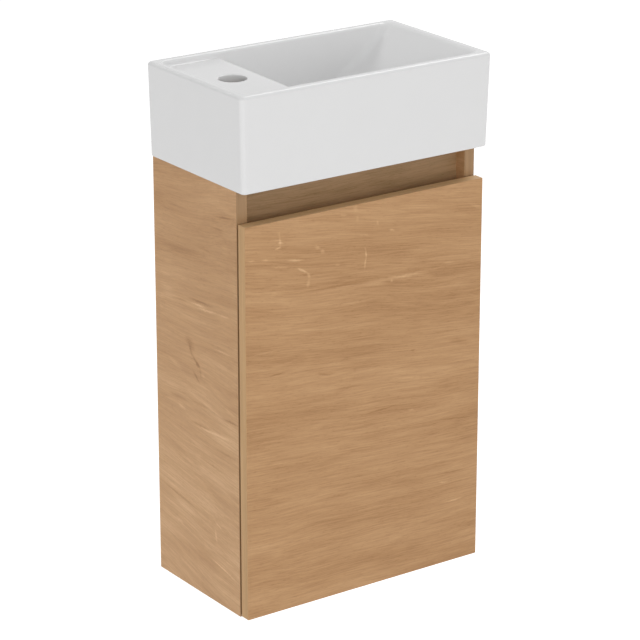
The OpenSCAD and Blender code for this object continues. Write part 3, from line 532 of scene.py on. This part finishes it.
def meshOfRows(name, rows):
    # rows of points, each row a closed loop, skinned one after the other and capped at both ends;
    # faces point to the right of the way along a row when the next row is above it
    rows = np.array(rows, float)
    count, n = rows.shape[:2]
    j, i = np.meshgrid(np.arange(count - 1), np.arange(n), indexing="ij")
    k = (i + 1) % n
    quads = np.stack([j * n + i, j * n + k, (j + 1) * n + k, (j + 1) * n + i], -1).reshape(-1, 4)
    caps = [list(range(n))[::-1], list(range((count - 1) * n, count * n))]
    mesh = bpy.data.meshes.new(name)
    mesh.from_pydata((rows.reshape(-1, 3) * mm).tolist(), [], quads.tolist() + caps)
    bm = bmesh.new()
    bm.from_mesh(mesh)
    bmesh.ops.remove_doubles(bm, verts=bm.verts, dist=mergeReach * mm)
    bm.to_mesh(mesh)
    bm.free()
    return mesh


def filletedLoop(corners, radii, sideCounts, arcCounts):
    # polygon with round corners, anticlockwise from above: side k runs up to corner k, then its
    # arc. A corner of half angle h keeps radius / tan(h) of its sides, and its centre lies
    # radius / sin(h) in from it; one with no arc points is a point on a straight side
    c = np.array(corners, float)
    r = np.array(radii, float)[:, None]
    back, ahead = np.roll(c, 1, 0) - c, np.roll(c, -1, 0) - c
    back /= np.linalg.norm(back, axis=1, keepdims=True)
    ahead /= np.linalg.norm(ahead, axis=1, keepdims=True)
    half = np.arccos(np.clip((back * ahead).sum(1, keepdims=True), -1, 1)) / 2
    entry, leave = c + back * r / np.tan(half), c + ahead * r / np.tan(half)
    middle = back + ahead
    middle /= np.maximum(np.linalg.norm(middle, axis=1, keepdims=True), 1e-9)
    centre = c + middle * r / np.sin(half)
    parts = []
    for k in range(len(c)):
        t = np.arange(sideCounts[k])[:, None] / sideCounts[k]
        parts.append(leave[k - 1] * (1 - t) + entry[k] * t)
        if arcCounts[k]:
            spoke, sweep = entry[k] - centre[k], math.pi - 2 * half[k, 0]
            a = math.atan2(spoke[1], spoke[0]) + np.arange(arcCounts[k]) / arcCounts[k] * sweep
            parts.append(centre[k] + r[k, 0] * np.stack([np.cos(a), np.sin(a)], 1))
    return np.concatenate(parts)


def level(loop, z):
    # a flat row: the loop's points, all at height z
    return np.column_stack([loop, np.full(len(loop), z)])


def boxLoop(x0, x1, y0, y1, r, arc=6):
    # a rectangle with round corners
    return filletedLoop([(x1, y0), (x1, y1), (x0, y1), (x0, y0)], (r,) * 4, (1,) * 4, (arc,) * 4)


def circle(centre, r, count):
    # centre plus radius times the cosine and sine of count even steps round
    a = np.arange(count) / count * 2 * math.pi
    return np.column_stack([centre[0] + r * np.cos(a), centre[1] + r * np.sin(a)])


def latheRows(profile, centre, count=48):
    # circles of the profile's radius at the profile's height round an upright axis
    return [level(circle(centre, r, count), z) for r, z in profile]


def sweptAlongY(points, y0, y1):
    # an x-z outline, anticlockwise seen from the front, carried from y1 to y0
    p = np.array(points, float)
    return [np.column_stack([p[:, 0], np.full(len(p), y), p[:, 1]]) for y in (y1, y0)]


def bent(t):
    # smooth step from 0 to 1: three times t squared less twice t cubed
    t = np.clip(t, 0, 1)
    return t * t * (3 - 2 * t)


def quarterArc(count, end=90):
    # sine and cosine of count angles from 0 up to the end, the steps of a rounding
    return [(math.sin(a), math.cos(a)) for a in np.radians(np.linspace(0, end, count))]


# Basin

(_, front, foot), (right, _, top) = boxOf("basin")
basin = dict(
    foot=foot, top=top, rimHalf=right, depth=-front, footHalf=182, footDepth=206,
    cornerR=6, cornerShrink=0.8, rimR=4.6, rimFlat=0.5, footR=2.0, rimW=12, lipR=3.7,
    wallRows=(62.5, 75, 100, 125, 150, 170, 176.5),
    ledge=172, recessCornerR=7, stepR=3.2, ledgeLipR=3.0, ledgeBack=-88, ledgeFront=-95,
    outsetEase=16, splitIn=1, wallEnds=(0.4, 0.3), ledgeSteps=(0.03, 0.2, 0.4, 0.6, 0.8, 0.97, 1.0),
    bowlStart=1, bowlFloor=93, draft=11, bowlBottomR=15, leftCornerR=(6, 20), rightCornerR=(12, 20),
    slope=[(173, 180), (104, 125), (50, 93)], kneeEase=16, slopeFootEase=9,
    waste=(-10, -104), seatR=33, seatDrop=2.5, seatLip=1.6, seatLipDrop=1.1, seatLipTurn=70,
    seatCorner=[(0.3, 0.4), (1.2, 0), (4, 0)],                        # in, up from the seat
    floorFall=0.6, floorSteps=(0.04, 0.2, 0.4, 0.6, 0.8, 1.0), skinEndR=2,
    wasteR=23, wasteEdge=[(0, -1.3), (0.5, -0.5), (1.6, 0.1), (1.6, 1)],    # out, up from the seat
    bossR=33, bossFoot=65, bossTop=88, bossEase=1.5,
    tap=(-128, -104), tapR=17.5, tapSoft=1.4, tapTurns=(0, 25, 50, 72, 90),
    tapMouth=[(0.6, -2), (0, 1)],                                     # out, up from the ceiling
    boltX=140, boltZ=105, boltR=6,
    hollow=(-173, 173, -197, -9), hollowR=8, hollowTop=83, mouthEase=1.2, ceilingEase=1,
    ledgeHollowEnd=-106, ledgeHollowFoot=64, ledgeHollowTop=160, ledgeHollowEase=2,
    slopeHollow=[(55, 62), (173, 62), (173, 154), (158, 154), (104, 112), (55, 83)],
    past=5,              # how far a cutter passes the face that it opens
    # bare china lies this near to the plane of the foot and of the back, and at the back on faces
    # that look so much backwards
    glazeEdge=0.2, bareFacing=0.9,
    counts=dict(side=64, end=44, arc=12, lip=96, cheek=24, hole=72, bolt=32),
    steps=dict(foot=4, rim=9, lip=8, step=7, ledgeLip=8, bowl=26, bottom=14, seatLip=5),
)


def slopeEnd(b, z):
    # x of the sloping right end: two straight stretches, whose knee is eased by the change of slope
    # times the square of what is left of the ease over four eases, and whose foot by a parabola too
    (x0, z0), (x1, z1), (x2, z2) = b["slope"]
    steep, gentle = (x0 - x1) / (z0 - z1), (x1 - x2) / (z1 - z2)
    knee, end = b["kneeEase"], b["slopeFootEase"]
    x = x1 + np.where(z > z1, steep * (z - z1), gentle * (z - z1))
    x = x - (gentle - steep) * np.maximum(knee - abs(z - z1), 0) ** 2 / (4 * knee)
    return x - end * np.maximum(1 - (z - z2) / end, 0) ** 2


def draftAt(b, z):
    # how far the walls have come in at one height: evenly from none at the top to draft at the floor
    return b["draft"] * (b["top"] - z) / (b["top"] - b["bowlFloor"])


def leftStart(b):
    # where the points of the left part start in a row
    c = b["counts"]
    return 2 * c["side"] + c["end"] + 2 * c["arc"]


def pushedOut(b, loop, distance):
    # points of the left part moved away from the bowl by distance, eased to none at both ends
    n = leftStart(b)
    tangent = np.roll(loop, -1, 0) - np.roll(loop, 1, 0)
    tangent /= np.linalg.norm(tangent, axis=1, keepdims=True)
    normal = np.column_stack([tangent[:, 1], -tangent[:, 0]])
    count = len(loop) - n
    t = np.arange(count)
    ease = bent(t / b["outsetEase"]) * bent((count - t) / b["outsetEase"])
    moved = loop.copy()
    moved[n:] += normal[n:] * (ease * distance)[:, None]
    return moved


def bowlLoop(b, z, extra=0.0):
    # the bowl's outline at one height, its corners rounder towards the floor; extra is the bottom
    # fillet's inset
    c = b["counts"]
    inset = draftAt(b, z) + extra
    deep = bent((b["ledge"] - z) / (b["ledge"] - b["bowlFloor"]))
    left, right = [r[0] + (r[1] - r[0]) * deep for r in (b["leftCornerR"], b["rightCornerR"])]
    front, back = b["rimW"] + inset - b["depth"], -b["rimW"] - inset
    end = slopeEnd(b, z)
    corners = [(end, front), (end, back), (b["ledgeBack"] + inset, back), (b["ledgeFront"] + inset, front)]
    return filletedLoop(corners, (right, right, left, left),
                        (c["side"], c["end"], c["side"], c["lip"]), (c["arc"],) * 4)


def rimLoop(b, left, right, front, back, leftR, rightR):
    # outline round ledge and bowl together, with as many points as the bowl's outline and in step
    # with them: the front and the back are split where the bowl's left corners start
    c = b["counts"]
    splitBack, splitFront = [b[side] + b["splitIn"] + b["leftCornerR"][0]
                             for side in ("ledgeBack", "ledgeFront")]
    corners = [(right, front), (right, back), (splitBack, back), (left, back), (left, front),
               (splitFront, front)]
    wall = c["lip"] - 2 * c["cheek"]
    return filletedLoop(corners, (rightR, rightR, 0, leftR, leftR, 0),
                        (c["side"], c["end"], c["side"], c["cheek"], wall, c["cheek"]),
                        (c["arc"], c["arc"], 0, c["arc"], c["arc"], 0))


def outerRow(b, z, inset=0.0):
    # the outside at one height: half width and depth grow evenly from the foot to the rim
    up = min((z - b["foot"]) / (b["top"] - b["rimR"] - b["foot"]), 1.0)
    half = b["footHalf"] + (b["rimHalf"] - b["footHalf"]) * up - inset
    deep = b["footDepth"] + (b["depth"] - b["footDepth"]) * up - inset
    r = b["cornerR"] - inset * b["cornerShrink"]    # so that a corner keeps a radius
    return level(rimLoop(b, -half, half, -deep, -inset, r, r), z)


def recessLoop(b, z, rightOut, out=0.0):
    # the rim's inside round ledge and bowl, moved outwards by out and at its right end by rightOut
    wall = b["rimW"] + draftAt(b, z) - out
    return rimLoop(b, wall - b["rimHalf"], b["slope"][0][0] + rightOut, wall - b["depth"], -wall,
                   b["recessCornerR"] + out, b["rightCornerR"][0] + out)


def recessOnSlope(b, z):
    # the same at one height below the rim's edge, where the right end lies on the slope
    return recessLoop(b, z, slopeEnd(b, z) - b["slope"][0][0])


def outsideRows(b):
    # up the outside, from the soft edge of the foot to the rounding of the rim
    rows = [outerRow(b, b["foot"] + b["footR"] * (1 - c), b["footR"] * (1 - s))
            for s, c in quarterArc(b["steps"]["foot"])]
    rows += [outerRow(b, z) for z in b["wallRows"]]
    rows += [outerRow(b, b["top"] - b["rimR"] * (1 - s), b["rimR"] * (1 - c))
             for s, c in quarterArc(b["steps"]["rim"])]
    return rows + [outerRow(b, b["top"], b["rimR"] + b["rimFlat"])]


def rimRows(b):
    # the rim's inner edge, a quarter round; at the right end it turns only down to the slope, by
    # less than a right angle, so its radius is wider there for the same drop
    (x0, z0), (x1, z1) = b["slope"][:2]
    turn = math.atan((z0 - z1) / (x0 - x1))
    wide = b["lipR"] / (1 - math.cos(turn))
    rows = []
    for s, c in quarterArc(b["steps"]["lip"]):
        drop = b["lipR"] * (1 - c)
        rightOut = wide * math.tan(turn / 2) - math.sqrt(max(2 * wide * drop - drop ** 2, 0))
        z = b["top"] - drop
        rows.append(level(recessLoop(b, z, rightOut, b["lipR"] * (1 - s)), z))
    return rows


def ledgeRows(b):
    # down the recess, round the soft foot of the step, over the flat ledge and its edge into the
    # bowl; on the other sides of the bowl these rows follow the wall or coincide. Rows that lie
    # close to a rounding keep the shading of the flat beside it flat
    low, step, lip = b["ledge"], b["stepR"], b["ledgeLipR"]
    under, over = b["wallEnds"]
    rows = [level(recessOnSlope(b, z), z) for z in (b["top"] - b["lipR"] - under, low + step + over)]
    for s, c in quarterArc(b["steps"]["step"]):
        z = low + step * (1 - s)
        stepLine = pushedOut(b, recessOnSlope(b, z), -step * (1 - c))
        rows.append(level(stepLine, z))
    lipLine = pushedOut(b, bowlLoop(b, low), lip)
    n = leftStart(b)
    for t in b["ledgeSteps"]:
        loop = stepLine.copy()
        loop[n:] = stepLine[n:] * (1 - t) + lipLine[n:] * t
        rows.append(level(loop, low))
    for s, c in quarterArc(b["steps"]["ledgeLip"])[1:]:
        z = low - lip * (1 - c)
        rows.append(level(pushedOut(b, bowlLoop(b, z), lip * (1 - s)), z))
    return rows


def bowlRows(b):
    # down the bowl's wall and round the fillet at its bottom
    start, end = b["ledge"] - b["ledgeLipR"] - b["bowlStart"], b["bowlFloor"] + b["bowlBottomR"]
    rows = [level(bowlLoop(b, z), z) for z in np.linspace(start, end, b["steps"]["bowl"])]
    for s, c in quarterArc(b["steps"]["bottom"])[1:]:
        z = b["bowlFloor"] + b["bowlBottomR"] * (1 - s)
        rows.append(level(bowlLoop(b, z, b["bowlBottomR"] * (1 - c)), z))
    return rows


def floorRows(b, last):
    # from the fillet's last row to the round seat of the waste: points run straight to the place
    # on the seat that lies towards them, the floor falls a little, and the seat's edge is soft; the
    # skin ends in a small circle that the waste hole takes away
    centre = np.array(b["waste"], float)
    spoke = last - centre
    spoke /= np.linalg.norm(spoke, axis=1, keepdims=True)
    seat, soft, fall = b["seatR"], b["seatLip"], b["floorFall"]
    edge = centre + spoke * (seat + soft)
    lip, sink = b["bowlFloor"] - fall, b["bowlFloor"] - b["seatDrop"]
    rows = [level(last * (1 - t) + edge * t, b["bowlFloor"] - fall * bent(t))
            for t in b["floorSteps"]]
    rows += [level(centre + spoke * (seat + soft - soft * s), lip - b["seatLipDrop"] * (1 - c))
             for s, c in quarterArc(b["steps"]["seatLip"], b["seatLipTurn"])[1:]]
    rows += [level(centre + spoke * (seat - inward), sink + up) for inward, up in b["seatCorner"]]
    return rows + [level(centre + spoke * b["skinEndR"], sink)]


def carve(mesh, cuts):
    # takes each closed cutter from the mesh or adds it, in turn; its faces get the cut's material
    scratch = bpy.data.objects.new("carved", mesh)
    bpy.context.scene.collection.objects.link(scratch)
    spares = [scratch]
    for operation, material, rows in cuts:
        cutMesh = meshOfRows("cut", rows)
        cutMesh.materials.append(glaze)
        cutMesh.materials.append(bisque)
        index = [glaze, bisque].index(material)
        cutMesh.polygons.foreach_set("material_index", np.full(len(cutMesh.polygons), index))
        cutter = bpy.data.objects.new("cutter", cutMesh)
        bpy.context.scene.collection.objects.link(cutter)
        step = scratch.modifiers.new("cut", "BOOLEAN")
        step.object, step.operation, step.solver = cutter, operation, "EXACT"
        spares.append(cutter)
    graph = bpy.context.evaluated_depsgraph_get()
    carved = bpy.data.meshes.new_from_object(scratch.evaluated_get(graph), depsgraph=graph)
    for spare in spares:
        bpy.data.objects.remove(spare)
    return carved


def hollowCuts(b):
    # the hollow underside, under bowl, ledge and slope, and the boss for the waste in it
    x0, x1, y0, y1 = b["hollow"]
    r, foot, mouth = b["hollowR"], b["foot"], b["mouthEase"]
    ceiling, ease = b["hollowTop"], b["ceilingEase"]
    under = [level(boxLoop(x0 - o, x1 + o, y0 - o, y1 + o, r + o), z) for z, o in (
        (foot - b["past"], mouth), (foot, mouth), (foot + mouth, 0), (ceiling - ease, 0), (ceiling, -ease))]
    ceiling, ease = b["ledgeHollowTop"], b["ledgeHollowEase"]
    underLedge = [level(boxLoop(x0 - o, b["ledgeHollowEnd"] + o, y0 - o, y1 + o, r), z) for z, o in (
        (b["ledgeHollowFoot"], 0), (ceiling - ease, 0), (ceiling, -ease))]
    boss = latheRows([
        (b["bossR"] - b["bossEase"], b["bossFoot"]), (b["bossR"], b["bossFoot"] + b["bossEase"]),
        (b["bossR"], b["bossTop"])], b["waste"])
    return [
        ("DIFFERENCE", bisque, under), ("DIFFERENCE", bisque, underLedge),
        ("DIFFERENCE", bisque, sweptAlongY(b["slopeHollow"], y0, y1)), ("UNION", bisque, boss),
    ]


def holeCuts(b):
    # the holes for the waste, the tap and the two wall bolts; a soft edge widens its cutter, at the
    # waste by a list of steps and at the tap along a quarter round
    past, sink, ledge, soft = b["past"], b["bowlFloor"] - b["seatDrop"], b["ledge"], b["tapSoft"]
    waste = [(b["wasteR"], b["foot"] - past)]
    waste += [(b["wasteR"] + out, sink + up) for out, up in b["wasteEdge"]]
    tap = [(b["tapR"] + out, b["ledgeHollowTop"] + up) for out, up in b["tapMouth"]]
    tap += [(b["tapR"] + soft * (1 - math.cos(a)), ledge - soft * (1 - math.sin(a)))
            for a in np.radians(b["tapTurns"])]
    tap.append((b["tapR"] + soft, ledge + past))
    cuts = [("DIFFERENCE", glaze, latheRows(profile, centre, b["counts"]["hole"]))
            for profile, centre in ((waste, b["waste"]), (tap, b["tap"]))]
    backWall = b["hollow"][3]
    for x in (-b["boltX"], b["boltX"]):
        ring = circle((x, b["boltZ"]), b["boltR"], b["counts"]["bolt"])
        cuts.append(("DIFFERENCE", bisque, sweptAlongY(ring, backWall - past, past)))
    return cuts


def addBasin(b):
    # one skin from the foot over the rim to the waste, carved; bare china on the foot and the back
    rows = outsideRows(b) + rimRows(b) + ledgeRows(b) + bowlRows(b)
    body = meshOfRows("basin", rows + floorRows(b, rows[-1][:, :2]))
    body.materials.append(glaze)
    body.materials.append(bisque)
    carved = carve(body, hollowCuts(b) + holeCuts(b))
    centre, normal = facesOf(carved)
    index = np.empty(len(carved.polygons), int)
    carved.polygons.foreach_get("material_index", index)
    onFoot = centre[:, 2] < b["foot"] + b["glazeEdge"]
    onBack = (centre[:, 1] > -b["glazeEdge"]) & (normal[:, 1] > b["bareFacing"])
    index[onFoot | onBack] = 1
    carved.name = "basin_glazed"
    addPiece(carved, "basin_glazed", "basin", [glaze, bisque],
             smoothAngle=38, index=index)


addBasin(basin)
print("basin made")


# Boards

onFace = 0.02    # a face this near to the box's side lies on it
facing = 0.99    # if it looks so much that way: the cosine of the turn between them
atCorner = 0.5   # two sides meet in a corner where the cosine between them is less than this
boardSides = dict(left=(0, -1), right=(0, 1), front=(1, -1), back=(1, 1), bottom=(2, -1), top=(2, 1))
sidePanel = dict(edgeR=0.7, foil=foilSide, flat=0, bands=dict(front=bandUp, top=bandDeep, bottom=bandDeep))
boards = dict(
    left_side_panel=sidePanel,
    right_side_panel=sidePanel,
    bottom_panel=dict(edgeR=0.6, foil=foilAcross, flat=2, bands=dict(front=bandAcross)),
    front_top_rail=dict(edgeR=0.6, foil=foilRailPaintedShade, flat=1, bands=dict(bottom=bandAcross, top=bandAcross)),
    rear_top_rail=dict(edgeR=0.6, foil=foilAcross, flat=1, bands=dict(bottom=bandAcross)),
    rear_bottom_rail=dict(edgeR=0.6, foil=foilAcross, flat=1, bands=dict(top=bandAcross)),
    shelf=dict(edgeR=0.6, foil=foilAcross, flat=2, bands=dict(front=bandAcross)),
    door_panel=dict(edgeR=0.8, foil=foilDoor, flat=1, bands=dict(
        left=bandDoor, right=bandDoor, bottom=bandDoorAcrossPaintedLight, top=bandDoorAcrossPaintedLight)),
)


def mergedCopy(node, name):
    # a CAD node's loose triangles merged and joined into flat faces
    mesh = frame["nodes"][node].data.copy()
    mesh.name = name
    bm = bmesh.new()
    bm.from_mesh(mesh)
    bmesh.ops.remove_doubles(bm, verts=bm.verts, dist=mergeReach * mm)
    bmesh.ops.dissolve_limit(bm, angle_limit=math.radians(flatTurn), verts=bm.verts, edges=bm.edges)
    bm.to_mesh(mesh)
    bm.free()
    return mesh


def addBoard(node, edgeR, foil, bands, flat):
    # foil on the two big faces, which look along the axis flat, a band on the sides that bands
    # names, and raw board on the others and on all that lies inside; only the edges between two
    # outer sides are softened
    mesh = mergedCopy(node, node + "_foiled")
    centre, normal = facesOf(mesh)
    corners = np.array(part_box(node)) / mm
    materials = [foil, chipboard]
    index = np.full(len(mesh.polygons), materials.index(chipboard))
    onSide = np.zeros(len(mesh.polygons), bool)
    for side, (axis, sign) in boardSides.items():
        at = corners[0 if sign < 0 else 1, axis]
        here = (abs(centre[:, axis] - at) < onFace) & (normal[:, axis] * sign > facing)
        onSide |= here
        material = foil if axis == flat else bands.get(side, chipboard)
        if material not in materials:
            materials.append(material)
        index[here] = materials.index(material)
    facesAt = {}
    for face in mesh.polygons:
        for key in face.edge_keys:
            facesAt.setdefault(key, []).append(face.index)
    weights = []
    for edge in mesh.edges:
        faces = facesAt[edge.key]
        outer = len(faces) == 2 and onSide[faces].all()
        weights.append(float(outer and normal[faces[0]] @ normal[faces[1]] < atCorner))
    mesh.attributes.new("bevel_weight_edge", "FLOAT", "EDGE").data.foreach_set("value", weights)
    piece = addPiece(mesh, node + "_foiled", node, materials,
                     smoothAngle=30, index=index)
    softenEdges(piece, edgeR, segments=3, limit_method="WEIGHT")


for node, spec in boards.items():
    addBoard(node, **spec)
print("boards made")


# Bumpers

bumper = dict(chamfer=(0.15, 0.25), side=0.7, crown=0.8, crownEnd=84, crownSteps=9, points=40)


def addBumpers(b):
    # each is a low dome on the door's back: from a short upright side with a small chamfer, the
    # height rises with the sine and the radius falls with a power of the cosine
    low, high = boxOf("door_bumpers")
    r, tall = (high[0] - low[0]) / 2, high[1] - low[1]
    inward, up = b["chamfer"]
    profile = [(r - inward, 0), (r, up)]
    for a in np.radians(np.linspace(0, b["crownEnd"], b["crownSteps"])):
        profile.append((r * math.cos(a) ** b["crown"], b["side"] + (tall - b["side"]) * math.sin(a)))
    rows = np.array(latheRows(profile, (0, 0), b["points"]))
    bm = bmesh.new()
    for z in (low[2] + r, high[2] - r):
        turned = np.stack([low[0] + r + rows[..., 0], low[1] + rows[..., 2], z - rows[..., 1]], -1)
        dome = meshOfRows("dome", turned)
        bm.from_mesh(dome)
        bpy.data.meshes.remove(dome)
    mesh = bpy.data.meshes.new("door_bumpers_cast")
    bm.to_mesh(mesh)
    bm.free()
    addPiece(mesh, "door_bumpers_cast", "door_bumpers", [finishes["clear_bumper"]],
             smoothAngle=40)


addBumpers(bumper)
print("bumpers made")


# Fittings: the CAD shapes, those that show with their edges softened

softened = dict(
    nickel_steel=dict(edge=0.25, sides=("upper", "lower"), kinds=(
        "mounting_plate", "hinge_arm", "outer_link", "inner_link", "hinge_cup")),
    zinc_steel=dict(edge=0.25, sides=("left", "right"), kinds=("hanger_hook", "wall_plate")),
    grey_plastic=dict(edge=0.5, sides=("left", "right"), kinds=("hanger_housing",)),
    white_plastic=dict(edge=0.8, sides=("left", "right"), kinds=("hanger_cover",)),
)
plain = dict(
    nickel_steel=("shelf_pins", "arm_pins", "plate_screws", "arm_screws", "cup_pins", "cup_screws"),
    zinc_steel=("cam_bolts", "hanger_adjusters", "hanger_screws"),
    cast_zinc=("cam_locks",), beech=("wood_dowels",),
)
sharpTurn = 50    # degrees from which on an edge of a fitting is softened


def addFittings():
    # a softened fitting is a copy that replaces its node, a plain one keeps its mesh
    for slot, spec in softened.items():
        for node in [side + "_" + kind for kind in spec["kinds"] for side in spec["sides"]]:
            name = node + "_finished"
            piece = addPiece(mergedCopy(node, name), name, node, [finishes[slot]],
                             smoothAngle=35)
            softenEdges(piece, spec["edge"], segments=2, limit_method="ANGLE",
                        angle_limit=math.radians(sharpTurn))
    for slot, nodes in plain.items():
        for node in nodes:
            for holder in frame["nodes"][node].material_slots:
                holder.material = finishes[slot]


addFittings()
print("fittings made")
